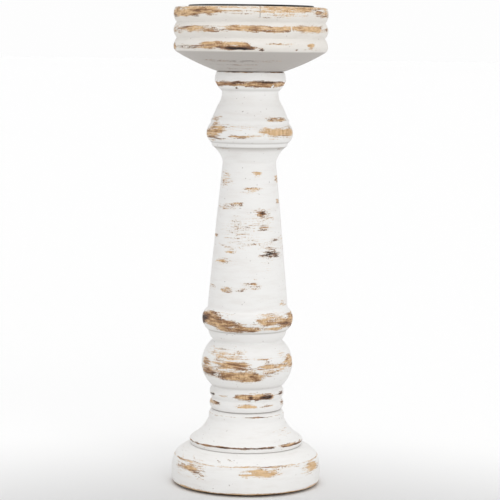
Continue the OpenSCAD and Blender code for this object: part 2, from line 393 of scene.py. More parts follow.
@dataclass
class TurnedMesh:
    """A fine mesh turned from an outline, row by row, with values that the finish reads.

    Attributes:
        outline: The stations of the section.
        columns: Number of points round the axis.
    """

    outline: Outline
    columns: int

    # Points nearer the axis than this, in millimetres, become one pole
    POLE = 0.02

    @classmethod
    def even(cls, node: str, corner: float, spacing: float, columns: int) -> "TurnedMesh":
        """A grid with evenly spaced rows, on the outline of a CAD node.

        Args:
            node: Name of the CAD node.
            corner: Rounding of its corners, in millimetres.
            spacing: Distance between rows, in millimetres.
            columns: Number of points round the axis.

        Returns:
            The grid.
        """
        outline = Outline.of_node(node).eased(corner)
        everywhere = np.ones(len(outline.points), dtype=bool)
        return cls(outline.stationed(everywhere, spacing, spacing), columns)

    def __post_init__(self) -> None:
        """Lay out the heights, bearings and directions of the grid."""
        self.radius = self.outline.points[:, 0:1]
        self.height = self.outline.points[:, 1:2]
        self.bearing = (np.arange(self.columns) * FULL_TURN / self.columns - HALF_TURN)[None, :]
        self.shape = (len(self.outline.points), self.columns)
        self.swell = np.zeros(self.shape)
        run = np.concatenate([[0], np.cumsum(steps_along(self.outline.points))])[:, None] * MM
        self.values: dict[str, np.ndarray] = {"run": run * np.ones(self.shape)}

    def spacing(self) -> float:
        """Typical distance between two rows, in millimetres."""
        return float(np.median(steps_along(self.outline.points)))

    def build(self, name: str) -> bpy.types.Object:
        """Make the mesh.

        Args:
            name: Name of the new object.

        Returns:
            The object, smooth shaded, with one attribute for each of the values.
        """
        outward = self.outline.outward()
        radius = self.radius + self.swell * outward[:, 0:1]
        height = self.height + self.swell * outward[:, 1:2]
        turn = np.radians(self.bearing)
        across, ahead = radius * np.sin(turn), -radius * np.cos(turn)
        places = np.stack([across, ahead, height * np.ones_like(turn)], axis=2)
        poles = [row for row in (0, self.shape[0] - 1) if self.radius[row, 0] < self.POLE]
        index = np.zeros(self.shape, dtype=int)
        verts: list[np.ndarray] = []
        used: list[tuple[int, int]] = []
        total = 0
        for row in range(self.shape[0]):
            if row in poles:
                index[row] = total
                verts.append(np.array([[0.0, 0.0, places[row, 0, 2]]]))
                used.append((row, 1))
                total += 1
            else:
                index[row] = total + np.arange(self.columns)
                verts.append(places[row])
                used.append((row, self.columns))
                total += self.columns
        faces = self._faces(index, poles)
        mesh = bpy.data.meshes.new(name)
        mesh.from_pydata((np.vstack(verts) * MM).tolist(), [], faces)
        for value_name, grid in self.values.items():
            layer = mesh.attributes.new(value_name, "FLOAT", "POINT")
            flat = np.concatenate([grid[row, :count] for row, count in used])
            layer.data.foreach_set("value", flat.astype(np.float32))
        mesh.shade_smooth()
        mesh.validate()
        piece = bpy.data.objects.new(name, mesh)
        bpy.context.scene.collection.objects.link(piece)
        return piece

    def _faces(self, index: np.ndarray, poles: list[int]) -> list[tuple[int, ...]]:
        """The faces between neighbouring rows.

        Args:
            index: Number of the vertex at each grid point.
            poles: Rows that have shrunk to one point.

        Returns:
            The vertex numbers of each face, wound so that it looks outwards.
        """
        faces: list[tuple[int, ...]] = []
        last = self.shape[0] if self.outline.closed else self.shape[0] - 1
        for row in range(last):
            above = (row + 1) % self.shape[0]
            here, there = index[row], index[above]
            here_next, there_next = np.roll(here, -1), np.roll(there, -1)
            if row in poles:
                quads = zip(here, there_next, there)
            elif above in poles:
                quads = zip(here, here_next, there)
            else:
                quads = zip(here, here_next, there_next, there)
            faces.extend(tuple(int(corner) for corner in corners) for corners in quads)
        return faces


class NodeBench:
    """Builds a material's nodes with short calls."""

    # Where most of a noise lies, which is stretched to an even spread
    NOISE_MIDDLE = (0.36, 0.64)

    def __init__(self, name: str) -> None:
        """Start a material with one Principled shader.

        Args:
            name: Name of the material.
        """
        self.material = bpy.data.materials.new(name)
        self.material.use_nodes = True
        self.tree = self.material.node_tree
        self.shader = self.tree.nodes["Principled BSDF"]
        self.place = self.tree.nodes.new("ShaderNodeTexCoord").outputs["Object"]
        self.skin = self.place

    def follow_outline(self) -> None:
        """Take skin patterns along the turned outline, so that they run round the axis everywhere."""
        x, y, _ = self.split()
        node = self.tree.nodes.new("ShaderNodeCombineXYZ")
        for socket, source in zip(node.inputs, (x, y, self.value("run"))):
            self.link(source, socket)
        self.skin = node.outputs["Vector"]

    def link(self, source: bpy.types.NodeSocket, target: bpy.types.NodeSocket) -> None:
        """Join two sockets."""
        self.tree.links.new(source, target)

    def _feed(self, socket: bpy.types.NodeSocket, value: object) -> None:
        """Link a socket to a value, or set it.

        Args:
            socket: The socket to feed.
            value: Another socket, or a number or colour.
        """
        if isinstance(value, bpy.types.NodeSocket):
            self.link(value, socket)
        else:
            socket.default_value = value

    def value(self, name: str) -> bpy.types.NodeSocket:
        """The mesh value of this name."""
        node = self.tree.nodes.new("ShaderNodeAttribute")
        node.attribute_name = name
        return node.outputs["Fac"]

    def noise(
        self,
        scale: tuple[float, float, float],
        detail: float = 3.0,
        rough: float = 0.55,
        shift: float = 0.0,
        warp: float = 0.0,
        on_skin: bool = False,
    ) -> bpy.types.NodeSocket:
        """Noise in the wood itself, or along its turned skin.

        Args:
            scale: Blots to the metre along X, Y and Z.
            detail: Octaves of finer noise.
            rough: Strength of the finer noise.
            shift: Moves the pattern, so that two pieces differ.
            warp: Distortion of the pattern.
            on_skin: True to follow the turned outline in place of Z.

        Returns:
            The noise, from 0 to 1.
        """
        mapping = self.tree.nodes.new("ShaderNodeMapping")
        mapping.inputs["Scale"].default_value = scale
        mapping.inputs["Location"].default_value = (shift, shift * 1.7, shift * 0.6)
        self.link(self.skin if on_skin else self.place, mapping.inputs["Vector"])
        node = self.tree.nodes.new("ShaderNodeTexNoise")
        node.inputs["Scale"].default_value = 1.0
        node.inputs["Detail"].default_value = detail
        node.inputs["Roughness"].default_value = rough
        node.inputs["Distortion"].default_value = warp
        self.link(mapping.outputs["Vector"], node.inputs["Vector"])
        return node.outputs["Fac"]

    def math(self, operation: str, *values: object) -> bpy.types.NodeSocket:
        """One sum.

        Args:
            operation: What is done with the values.
            values: One to three values, each a socket or a number.

        Returns:
            The result.
        """
        node = self.tree.nodes.new("ShaderNodeMath")
        node.operation = operation
        for socket, value in zip(node.inputs, values):
            self._feed(socket, value)
        return node.outputs["Value"]

    def step(
        self,
        value: bpy.types.NodeSocket,
        low: float,
        high: float,
        start: float = 0.0,
        end: float = 1.0,
        smooth: bool = True,
    ) -> bpy.types.NodeSocket:
        """A rise from start to end as the value goes from low to high.

        Args:
            value: The value to map.
            low: Where the rise starts.
            high: Where the rise ends.
            start: Result at and below low.
            end: Result at and above high.
            smooth: True for a rounded rise, False for a straight one.

        Returns:
            The mapped value.
        """
        node = self.tree.nodes.new("ShaderNodeMapRange")
        node.interpolation_type = "SMOOTHSTEP" if smooth else "LINEAR"
        node.inputs["From Min"].default_value = low
        node.inputs["From Max"].default_value = high
        node.inputs["To Min"].default_value = start
        node.inputs["To Max"].default_value = end
        self.link(value, node.inputs["Value"])
        return node.outputs["Result"]

    def mottled(
        self, base: object, patterns: tuple[tuple[bpy.types.NodeSocket, float], ...]
    ) -> bpy.types.NodeSocket:
        """A value broken up by noises, each spread evenly about zero.

        Args:
            base: The value, a socket or a number.
            patterns: Each noise, with the spread between its least and its most.

        Returns:
            The value with every noise added.
        """
        for pattern, spread in patterns:
            evened = self.step(pattern, *self.NOISE_MIDDLE, -spread / 2, spread / 2, smooth=False)
            base = self.math("ADD", base, evened)
        return base

    def blend(self, share: object, first: object, second: object) -> bpy.types.NodeSocket:
        """Two colours mixed.

        Args:
            share: Share of the second colour, from 0 to 1.
            first: The first colour, or a grey value.
            second: The second colour, or a grey value.

        Returns:
            The mixed colour.
        """
        node = self.tree.nodes.new("ShaderNodeMix")
        node.data_type = "RGBA"
        self._feed(node.inputs["Factor"], share)
        self._feed(node.inputs["A"], first)
        self._feed(node.inputs["B"], second)
        return node.outputs["Result"]

    def split(self) -> tuple[bpy.types.NodeSocket, bpy.types.NodeSocket, bpy.types.NodeSocket]:
        """X, Y and Z of the object's own coordinates."""
        node = self.tree.nodes.new("ShaderNodeSeparateXYZ")
        self.link(self.place, node.inputs["Vector"])
        return node.outputs["X"], node.outputs["Y"], node.outputs["Z"]

    def bump(self, height: bpy.types.NodeSocket, distance: float, strength: float) -> None:
        """Shade the surface as if it were raised.

        Args:
            height: How high each place stands, from 0 to 1.
            distance: Height of a full rise, in metres.
            strength: Share of the bump that is used.
        """
        node = self.tree.nodes.new("ShaderNodeBump")
        node.inputs["Strength"].default_value = strength
        node.inputs["Distance"].default_value = distance
        self.link(height, node.inputs["Height"])
        self.link(node.outputs["Normal"], self.shader.inputs["Normal"])


@dataclass(frozen=True)
class WornPaint:
    """Chalky white paint over brown stain over tan wood, rubbed through, with painted shade greying the
    places that face down.

    Attributes:
        name: Name of the material.
        grain: The way the wood's grain runs.
        shift: Moves every pattern, so that two pieces differ.
        glue_line: Distance of a glued joint in the wood from the axis, in millimetres, or None.
        glue_from: Height above which the glued joint shows, in millimetres.
        white: Colour of the thick paint.
        shade: Colour of the paint where it is uneven.
    """

    name: str
    grain: Grain
    shift: float
    glue_line: float | None = None
    glue_from: float = 0.0
    white: tuple[float, float, float, float] = linear(240, 239, 237)
    shade: tuple[float, float, float, float] = linear(229, 225, 221)

    PAINT_THIN = linear(226, 206, 182)
    # Grey of the painted shade on places that face down, mixed into the paint's colour
    PAINTED_UNDERSIDE_SHADE = linear(190, 185, 180)
    TAN = linear(227, 195, 153)
    TAN_DEEP = linear(200, 162, 118)
    PORE = linear(152, 112, 78)
    BROWN = linear(152, 112, 78)
    STAIN = linear(98, 70, 54)
    STAIN_DEEP = linear(38, 29, 25)

    # Blots of each noise to the metre, along X, along Y and along the turned outline
    STREAKS = (170, 170, 1700)
    CRUMBS = (1300, 1300, 1900)
    SANDING = (45, 45, 1000)
    STAIN_CLOUDS = (110, 110, 700)
    PAINT_CLOUDS = (60, 60, 260)
    DOTS = (800, 800, 1000)
    BRUSH_MARKS = (420, 420, 900)
    # Wear at which the paint starts to break, and at which the wood is quite bare
    BREAKING = (0.4, 0.64)
    PAINT_ROUGH = 0.62
    WOOD_ROUGH = 0.5
    ROUGH_SPREAD = 0.2
    GLOSS = 0.35
    # How far the glued joint wanders, and the depth of the relief, in millimetres
    WANDER = 0.5
    RELIEF_DEPTH = 0.09
    # The step down from paint to wood, as a share of that depth
    PAINT_STEP = 0.7

    def build(self) -> bpy.types.Material:
        """Make the material.

        Returns:
            The material, which reads the mesh values "run", "wear", "stain" and "under", the last being
            where painted shade greys places that face down.
        """
        bench = NodeBench(self.name)
        bench.follow_outline()
        streak = bench.noise(self.STREAKS, 3.0, 0.6, self.shift, on_skin=True)
        crumb = bench.noise(self.CRUMBS, 2.0, 0.6, self.shift + 3, on_skin=True)
        worn = self._worn(bench, streak, crumb)
        bare = bench.step(worn, *self.BREAKING)
        wood = self._wood(bench, worn, streak, crumb)
        paint = self._paint(bench, worn, streak)
        colour = bench.blend(bare, paint, wood)
        bench.link(colour, bench.shader.inputs["Base Color"])
        even_rough = bench.step(bare, 0.0, 1.0, self.PAINT_ROUGH, self.WOOD_ROUGH)
        rough = bench.math("MULTIPLY_ADD", streak, self.ROUGH_SPREAD, even_rough)
        bench.link(rough, bench.shader.inputs["Roughness"])
        bench.shader.inputs["Specular IOR Level"].default_value = self.GLOSS
        self._relief(bench, bare, streak)
        return bench.material

    def _worn(
        self, bench: NodeBench, streak: bpy.types.NodeSocket, crumb: bpy.types.NodeSocket
    ) -> bpy.types.NodeSocket:
        """How far the paint is worn, broken into streaks and crumbs; the paint ends at one half.

        Args:
            bench: The material's nodes.
            streak: Noise drawn out round the axis.
            crumb: Fine even noise.

        Returns:
            The wear, from 0 to 1.
        """
        sanding = bench.noise(self.SANDING, 2.0, 0.5, self.shift + 13, on_skin=True)
        breaks = bench.mottled(0.0, ((streak, 0.48), (crumb, 0.4), (sanding, 0.26)))
        wear = bench.value("wear")
        broken = bench.math("MULTIPLY", breaks, bench.step(wear, 0.0, 0.2, 0.55, 1.0))
        return bench.math("ADD", wear, broken)

    def _wood(
        self,
        bench: NodeBench,
        worn: bpy.types.NodeSocket,
        streak: bpy.types.NodeSocket,
        crumb: bpy.types.NodeSocket,
    ) -> bpy.types.NodeSocket:
        """Colour of the wood under the paint, with stain left along the paint's edge.

        Args:
            bench: The material's nodes.
            worn: How far the paint is worn.
            streak: Noise drawn out round the axis.
            crumb: Fine even noise.

        Returns:
            The colour.
        """
        grain = bench.noise(self.grain.value, 4.0, 0.6, self.shift + 11, 0.4)
        tan = bench.blend(bench.step(grain, 0.35, 0.65), self.TAN, self.TAN_DEEP)
        tan = bench.blend(bench.step(grain, 0.6, 0.74, 0.0, 0.45), tan, self.PORE)
        edged = bench.math("ADD", bench.value("stain"), bench.step(worn, 0.5, 0.64, 0.1, 0.0))
        clouds = bench.noise(self.STAIN_CLOUDS, 2.0, 0.5, self.shift + 19, on_skin=True)
        total = bench.mottled(edged, ((streak, 0.3), (crumb, 0.28), (clouds, 0.38)))
        brown = bench.blend(bench.step(total, 0.2, 0.55), tan, self.BROWN)
        dark = bench.blend(bench.step(total, 0.5, 0.8), brown, self.STAIN)
        return bench.blend(bench.step(total, 0.8, 1.1), dark, self.STAIN_DEEP)

    def _paint(
        self, bench: NodeBench, worn: bpy.types.NodeSocket, streak: bpy.types.NodeSocket
    ) -> bpy.types.NodeSocket:
        """Colour of the paint: uneven white, thin and warm next to a worn place, with painted shade on
        places that face down, and rare dark dots.

        Args:
            bench: The material's nodes.
            worn: How far the paint is worn.
            streak: Noise drawn out round the axis.

        Returns:
            The colour.
        """
        cloud = bench.noise(self.PAINT_CLOUDS, 4.0, 0.6, self.shift + 17, on_skin=True)
        white = bench.blend(bench.step(cloud, 0.42, 0.8, 0.0, 0.55), self.white, self.shade)
        brushed = bench.blend(bench.step(streak, 0.56, 0.78, 0.0, 0.36), white, self.shade)
        thin = bench.blend(bench.step(worn, 0.27, 0.47, 0.0, 0.62), brushed, self.PAINT_THIN)
        # Painted shade: the paint turns grey where the piece faces down
        shaded = bench.blend(bench.value("under"), thin, self.PAINTED_UNDERSIDE_SHADE)
        dots = bench.noise(self.DOTS, 0.0, 0.5, self.shift + 23, on_skin=True)
        dotted = bench.blend(bench.step(dots, 0.82, 0.86, 0.0, 0.6), shaded, self.STAIN)
        if self.glue_line is None:
            return dotted
        return bench.blend(self._glue_joint(bench), dotted, self.STAIN_DEEP)

    def _glue_joint(self, bench: NodeBench) -> bpy.types.NodeSocket:
        """Where a glued joint between two boards shows as a dark hairline.

        Args:
            bench: The material's nodes.

        Returns:
            The share of the line, from 0 to 1.
        """
        x, _, z = bench.split()
        wander = bench.noise((0, 0, 900), 2.0, 0.5, self.shift + 29)
        least = self.glue_line - self.WANDER / 2
        middle = bench.math("MULTIPLY_ADD", wander, self.WANDER * MM, least * MM)
        off = bench.math("ABSOLUTE", bench.math("SUBTRACT", x, middle))
        line = bench.step(off, 0.08 * MM, 0.3 * MM, 0.7, 0.0)
        high = bench.step(z, (self.glue_from - 0.5) * MM, (self.glue_from + 0.5) * MM)
        return bench.math("MULTIPLY", line, high)

    def _relief(
        self, bench: NodeBench, bare: bpy.types.NodeSocket, streak: bpy.types.NodeSocket
    ) -> None:
        """Brush marks in the paint, pores in the wood, and the step between them.

        Args:
            bench: The material's nodes.
            bare: Share of bare wood.
            streak: Noise drawn out round the axis.
        """
        pores = bench.noise(self.grain.value, 5.0, 0.65, self.shift + 31)
        brush_marks = bench.noise(self.BRUSH_MARKS, 4.0, 0.6, self.shift + 37, on_skin=True)
        painted = bench.math("MULTIPLY_ADD", streak, 0.35, brush_marks)
        ground = bench.blend(bare, painted, pores)
        level = bench.math("MULTIPLY_ADD", bare, -self.PAINT_STEP, ground)
        bench.bump(level, self.RELIEF_DEPTH * MM, 0.8)


@dataclass(frozen=True)
class BlackSteel:
    """Satin black enamel on pressed steel, a little dusty and scratched."""

    name: str = "black_enamelled_steel"

    ENAMEL = linear(20, 20, 21)
    DUST = linear(58, 56, 53)
    ROUGHNESS = (0.34, 0.5)

    def build(self) -> bpy.types.Material:
        """Make the material.

        Returns:
            The material.
        """
        bench = NodeBench(self.name)
        dust = bench.noise((240, 240, 240), 5.0, 0.65)
        scratch = bench.noise((60, 1400, 500), 3.0, 0.6, 5.0, 0.3)
        colour = bench.blend(bench.step(dust, 0.5, 0.8, 0.0, 0.5), self.ENAMEL, self.DUST)
        bench.link(colour, bench.shader.inputs["Base Color"])
        bench.link(bench.step(scratch, 0.3, 0.75, *self.ROUGHNESS), bench.shader.inputs["Roughness"])
        bench.shader.inputs["Specular IOR Level"].default_value = 0.5
        peel = bench.noise((700, 700, 700), 2.0, 0.5, 9.0)
        bench.bump(peel, 0.03 * MM, 0.5)
        return bench.material


@dataclass(frozen=True)
class ZincSteel:
    """Bright zinc plating, blotchy where it has dulled."""

    name: str = "zinc_plated_steel"

    BRIGHT = linear(205, 205, 208)
    DULL = linear(160, 158, 152)
    ROUGHNESS = (0.26, 0.5)

    def build(self) -> bpy.types.Material:
        """Make the material.

        Returns:
            The material.
        """
        bench = NodeBench(self.name)
        bloom = bench.noise((500, 500, 500), 5.0, 0.6)
        colour = bench.blend(bench.step(bloom, 0.35, 0.7), self.BRIGHT, self.DULL)
        bench.link(colour, bench.shader.inputs["Base Color"])
        bench.link(bench.step(bloom, 0.3, 0.7, *self.ROUGHNESS), bench.shader.inputs["Roughness"])
        bench.shader.inputs["Metallic"].default_value = 1.0
        marks = bench.noise((2500, 2500, 500), 3.0, 0.6, 4.0)
        bench.bump(marks, 0.02 * MM, 0.6)
        return bench.material


@dataclass(frozen=True)
class BrownFelt:
    """Short brown wool felt."""

    name: str = "brown_felt"

    WOOL = linear(92, 70, 54)
    WOOL_DARK = linear(58, 43, 33)
    ROUGHNESS = (0.85, 1.0)

    def build(self) -> bpy.types.Material:
        """Make the material.

        Returns:
            The material.
        """
        bench = NodeBench(self.name)
        fibre = bench.noise((1600, 1600, 1600), 5.0, 0.7, 0.0, 2.5)
        cloud = bench.noise((140, 140, 140), 3.0, 0.6, 6.0)
        mixed = bench.math("MULTIPLY_ADD", cloud, 0.5, bench.math("MULTIPLY", fibre, 0.6))
        colour = bench.blend(bench.step(mixed, 0.35, 0.75), self.WOOL_DARK, self.WOOL)
        bench.link(colour, bench.shader.inputs["Base Color"])
        bench.link(bench.step(fibre, 0.2, 0.8, *self.ROUGHNESS), bench.shader.inputs["Roughness"])
        bench.shader.inputs["Sheen Weight"].default_value = 0.4
        bench.shader.inputs["Specular IOR Level"].default_value = 0.15
        bench.bump(fibre, 0.25 * MM, 0.9)
        return bench.material


@dataclass
class WoodenPiece:
    """A turned wooden piece in worn white paint.

    Attributes:
        node: Its CAD node.
        columns: Points round the axis.
        seed: Seed of its own random numbers.
        grain: The way its grain runs.
        spacing: Distance between rows where it shows.
        places: Worn places, the ones in front chosen by hand.
        crests: Bands that wear on the side away from the front too.
        drips: Blobs of thick paint.
        hidden_bore: Radius inside which nothing shows, apart from the ends.
    """

    node: str
    columns: int
    seed: int
    grain: Grain
    # places: Worn places, the ones in front listed one by one.
    spacing: float = 0.7
    places: tuple[Worn, ...] = ()
    crests: tuple[Crest, ...] = ()
    drips: tuple[Drip, ...] = ()
    hidden_bore: float = 11.0

    # Spacing of the rows where nothing shows, and rounding of the corners, in millimetres
    HIDDEN_SPACING = 3.0
    CORNER = 0.3
    # Squareness of a worn place: 2 is an ellipse, and more is squarer
    SQUARENESS = 2.2
    # Longest fade at the ends of a worn place, in millimetres
    TAPER = 9.0
    # Where the wear of a place starts to fade and where it ends, with its edge at 1
    FADE = (0.25, 1.5)
    # Sizes of the noises: millimetres along the outline, and columns round the axis
    RAGGED = (0.7, 4.0)
    BROAD = (1.6, 12.0)
    MOTTLE = (1.1, 6.0)
    LUMPS = (4.0, 9.0)
    FINE_LUMPS = (1.2, 3.0)
    LATHE_MARKS = 0.8
    # Heights of the unevenness, in millimetres
    LATHE_RISE = 0.015
    LUMP_RISE = 0.018
    FINE_LUMP_RISE = 0.008
    PAINT_DEPTH = 0.1
    # How far the skin lies inside the CAD surface, so that nothing stands out past it
    INSET = 0.05
    # How squarely a place has to face down before painted shade greys its paint, and where that painted
    # shade is full
    FACING_DOWN = (0.6, 0.85)

    def build(self) -> bpy.types.Object:
        """Turn, wear and paint the piece.

        Returns:
            The finished piece, riding on the stand in place of its CAD node.
        """
        outline = Outline.of_node(self.node).eased(self.CORNER)
        shown = self.shows(outline.points)
        turned = TurnedMesh(outline.stationed(shown, self.spacing, self.HIDDEN_SPACING), self.columns)
        rng = np.random.default_rng(self.seed)
        wear, stain = self.wear(turned, rng)
        # Painted shade on the undersides, kept as the "under" value that greys the paint
        facing_down = -turned.outline.outward()[:, 1:2] * np.ones(turned.shape)
        under = smooth_step(*self.FACING_DOWN, facing_down)
        turned.values |= {"wear": wear, "stain": stain, "under": under}
        turned.swell = self.relief(turned, wear, rng)
        piece = turned.build(f"turned_{self.node}")
        piece.data.materials.append(self.finish().build())
        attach(piece, STAND)
        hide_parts(self.node)
        log.info("%s: %d points, %d worn places", piece.name, len(piece.data.vertices), len(self.places))
        return piece

    def finish(self) -> WornPaint:
        """The piece's paint."""
        return WornPaint(f"worn_white_{self.node}", self.grain, float(self.seed))

    def shows(self, points: np.ndarray) -> np.ndarray:
        """Which points of the outline can be seen.

        Args:
            points: Radius and height of each point.

        Returns:
            True for each point that can be seen.
        """
        return points[:, 0] > self.hidden_bore

    def all_places(self, rng: np.random.Generator) -> list[Worn]:
        """The worn places in front, and others like them on the far side of each crest.

        Args:
            rng: The piece's random numbers.

        Returns:
            Every worn place.
        """
        places = list(self.places)
        for crest in self.crests:
            places.extend(crest.place(part, rng) for part in range(crest.count))
        return places

    def wear(self, turned: TurnedMesh, rng: np.random.Generator) -> tuple[np.ndarray, np.ndarray]:
        """Share of the paint that is worn away, and how dark the wood below is, over the whole piece.

        Args:
            turned: The piece's grid.
            rng: The piece's random numbers.

        Returns:
            The wear and the stain.
        """
        ragged = self._noise(turned, rng, self.RAGGED)
        broad = self._noise(turned, rng, self.BROAD)
        mottle = self._noise(turned, rng, self.MOTTLE)
        kept = np.ones(turned.shape)
        stain = np.full(turned.shape, Tone.WARM.value)
        for place in self.all_places(rng):
            reach, foot = self._reach(turned, place)
            edge = reach + 0.14 * ragged + 0.16 * broad
            share = place.strength * (1 - smooth_step(*self.FADE, edge))
            kept = kept * (1 - share)
            stain += (place.tone.value + place.foot * foot - stain) * np.clip(1.3 * share, 0, 1)
        wear = 1 - kept
        for drip in self.drips:
            wear = wear * (1 - smooth_step(0.0, 0.6, self._blob(turned, drip)))
        stain = np.clip(stain + 0.1 * mottle, 0, 1.2)
        return wear, stain

    def _noise(
        self, turned: TurnedMesh, rng: np.random.Generator, size: tuple[float, float]
    ) -> np.ndarray:
        """Smooth noise over the whole piece.

        Args:
            turned: The piece's grid.
            rng: The piece's random numbers.
            size: Size of its blots, in millimetres along the outline and in columns round the axis.

        Returns:
            The noise, with a spread of one.
        """
        tall, wide = size
        return drift(rng, turned.shape, tall / turned.spacing(), wide)

    def _blob(self, turned: TurnedMesh, drip: Drip) -> np.ndarray:
        """The shape of a drip.

        Args:
            turned: The piece's grid.
            drip: The drip.

        Returns:
            One at its middle, falling to zero at its edge.
        """
        off = turn_between(turned.bearing, drip.bearing)
        across = np.radians(off) * turned.radius / drip.wide
        level = (turned.height - drip.height) / drip.tall
        return np.clip(1 - (across**2 + level**2), 0, 1)

    def _reach(self, turned: TurnedMesh, place: Worn) -> tuple[np.ndarray, np.ndarray]:
        """How far each grid point lies from the middle line of a worn place.

        Args:
            turned: The piece's grid.
            place: The worn place.

        Returns:
            Zero along its middle and one on its edge; and one at its foot, zero at its top.
        """
        middle = (place.left + place.right) / 2
        half = (place.right - place.left) / 2
        off = turn_between(turned.bearing, middle)
        mm_per_degree = np.radians(turned.radius)
        taper = np.minimum(half * mm_per_degree, self.TAPER)
        past = (np.abs(off) - half) * mm_per_degree / np.maximum(taper, 1e-6)
        wide = np.clip(1 + past, 0, None) if half < HALF_TURN else np.zeros_like(past)
        line = (place.low + place.high) / 2 + place.slope * off
        level = (turned.height - line) / ((place.high - place.low) / 2)
        reach = (wide**self.SQUARENESS + np.abs(level) ** self.SQUARENESS) ** (1 / self.SQUARENESS)
        foot = smooth_step(0.1, 0.8, -level) * np.ones_like(wide)
        return reach, foot

    def relief(self, turned: TurnedMesh, wear: np.ndarray, rng: np.random.Generator) -> np.ndarray:
        """The piece's unevenness: lathe marks, lumps in the paint, and the depth of the paint itself.

        Args:
            turned: The piece's grid.
            wear: How far the paint is worn.
            rng: The piece's random numbers.

        Returns:
            How far each grid point stands out, in millimetres.
        """
        lathe_marks = drift(rng, (turned.shape[0], 1), self.LATHE_MARKS / turned.spacing(), 1.0)
        lumps = self._noise(turned, rng, self.LUMPS)
        fine_lumps = self._noise(turned, rng, self.FINE_LUMPS)
        rubbed = smooth_step(0.25, 0.75, wear)
        swell = self.LATHE_RISE * lathe_marks + self.LUMP_RISE * lumps + self.FINE_LUMP_RISE * fine_lumps
        swell = swell - self.PAINT_DEPTH * rubbed
        for drip in self.drips:
            swell = swell + drip.rise * self._blob(turned, drip)
        return np.where(turned.radius > self.hidden_bore, swell - self.INSET, 0.0)


@dataclass
class Plinth(WoodenPiece):
    """The lower disc of the base."""

    # Heights between which its arris is rubbed
    ARRIS = (18.9, 19.9)

    def all_places(self, rng: np.random.Generator) -> list[Worn]:
        """The plinth's worn places, with its arris and bottom edge rubbed all round.

        Args:
            rng: The piece's random numbers.

        Returns:
            Every worn place.
        """
        low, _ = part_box(self.node)
        foot = low.z / MM
        places = super().all_places(rng)
        places.append(Worn(foot - 0.4, foot + 1.5, 0, FULL_TURN, Tone.WARM, 0.8))
        places.append(Worn(*self.ARRIS, 0, FULL_TURN, Tone.WARM, 0.62))
        return places


@dataclass
class BaseMoulding(WoodenPiece):
    """The upper disc of the base, with its sharp edge rubbed dark."""

    def all_places(self, rng: np.random.Generator) -> list[Worn]:
        """The moulding's worn places, with its sharp edge rubbed nearly all round.

        Args:
            rng: The piece's random numbers.

        Returns:
            Every worn place.
        """
        places = super().all_places(rng)
        edge = self.edge_height()
        places.append(Worn(edge - 0.3, edge + 0.9, 37, 392, Tone.BROWN, 0.92, 0.3))
        places.append(Worn(edge - 0.2, edge + 1.1, 23, 32, Tone.BLACK, 1.0))
        places.append(Worn(edge + 0.7, edge + 1.7, 36, 85, Tone.WARM, 0.6))
        return places

    def edge_height(self) -> float:
        """Height of the moulding's widest place, in millimetres."""
        points = Outline.of_node(self.node).points
        return float(points[points[:, 0].argmax(), 1])


@dataclass
class Cup(WoodenPiece):
    """The cup that holds the pan, glued up from two boards.

    Attributes:
        glue_line: Distance of the boards' joint from the axis.
        glue_from: Height above which the joint shows.
    """

    glue_line: float = 5.6
    glue_from: float = 304.5

    WHITE = linear(232, 228, 222)
    SHADE = linear(220, 214, 206)
    # The recess under the pan lies above this height and inside this radius, in millimetres
    RECESS_FROM = 300.0
    RECESS_RADIUS = 41.0

    def wear(self, turned: TurnedMesh, rng: np.random.Generator) -> tuple[np.ndarray, np.ndarray]:
        """The cup's wear and stain, with the recess under the pan left in full paint.

        Args:
            turned: The piece's grid.
            rng: The piece's random numbers.

        Returns:
            The wear and the stain.
        """
        wear, stain = super().wear(turned, rng)
        open_air = smooth_step(self.RECESS_RADIUS, self.RECESS_RADIUS + 1.5, turned.radius)
        return wear * np.where(turned.height > self.RECESS_FROM, open_air, 1.0), stain

    def finish(self) -> WornPaint:
        """The cup's paint, a little dirtier than the rest, with the hairline between its two boards.

        Returns:
            The paint.
        """
        return WornPaint(
            name=f"worn_white_{self.node}",
            grain=self.grain,
            shift=float(self.seed),
            glue_line=self.glue_line,
            glue_from=self.glue_from,
            white=self.WHITE,
            shade=self.SHADE,
        )


@dataclass
class CandlePan:
    """The loose pressed steel pan.

    Attributes:
        node: Its CAD node.
        columns: Points round the axis.
        spacing: Distance between rows.
        seed: Seed of its own random numbers.
        corner: Rounding of its corners.
        ripple: Height of the ripples in its sheet.
    """

    node: str = "candle_pan"
    columns: int = 256
    spacing: float = 0.6
    seed: int = 41
    corner: float = 0.12
    ripple: float = 0.015

    def build(self) -> bpy.types.Object:
        """Press the pan and enamel it.

        Returns:
            The pan, riding on its own body in place of its CAD node.
        """
        turned = TurnedMesh.even(self.node, self.corner, self.spacing, self.columns)
        rng = np.random.default_rng(self.seed)
        ripples = self.ripple * drift(rng, turned.shape, 8.0, 12.0)
        turned.swell = ripples * smooth_step(0, 12, turned.radius)
        piece = turned.build("pressed_pan")
        piece.data.materials.append(BlackSteel().build())
        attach(piece, PAN)
        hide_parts(self.node)
        log.info("%s: %d points", piece.name, len(piece.data.vertices))
        return piece


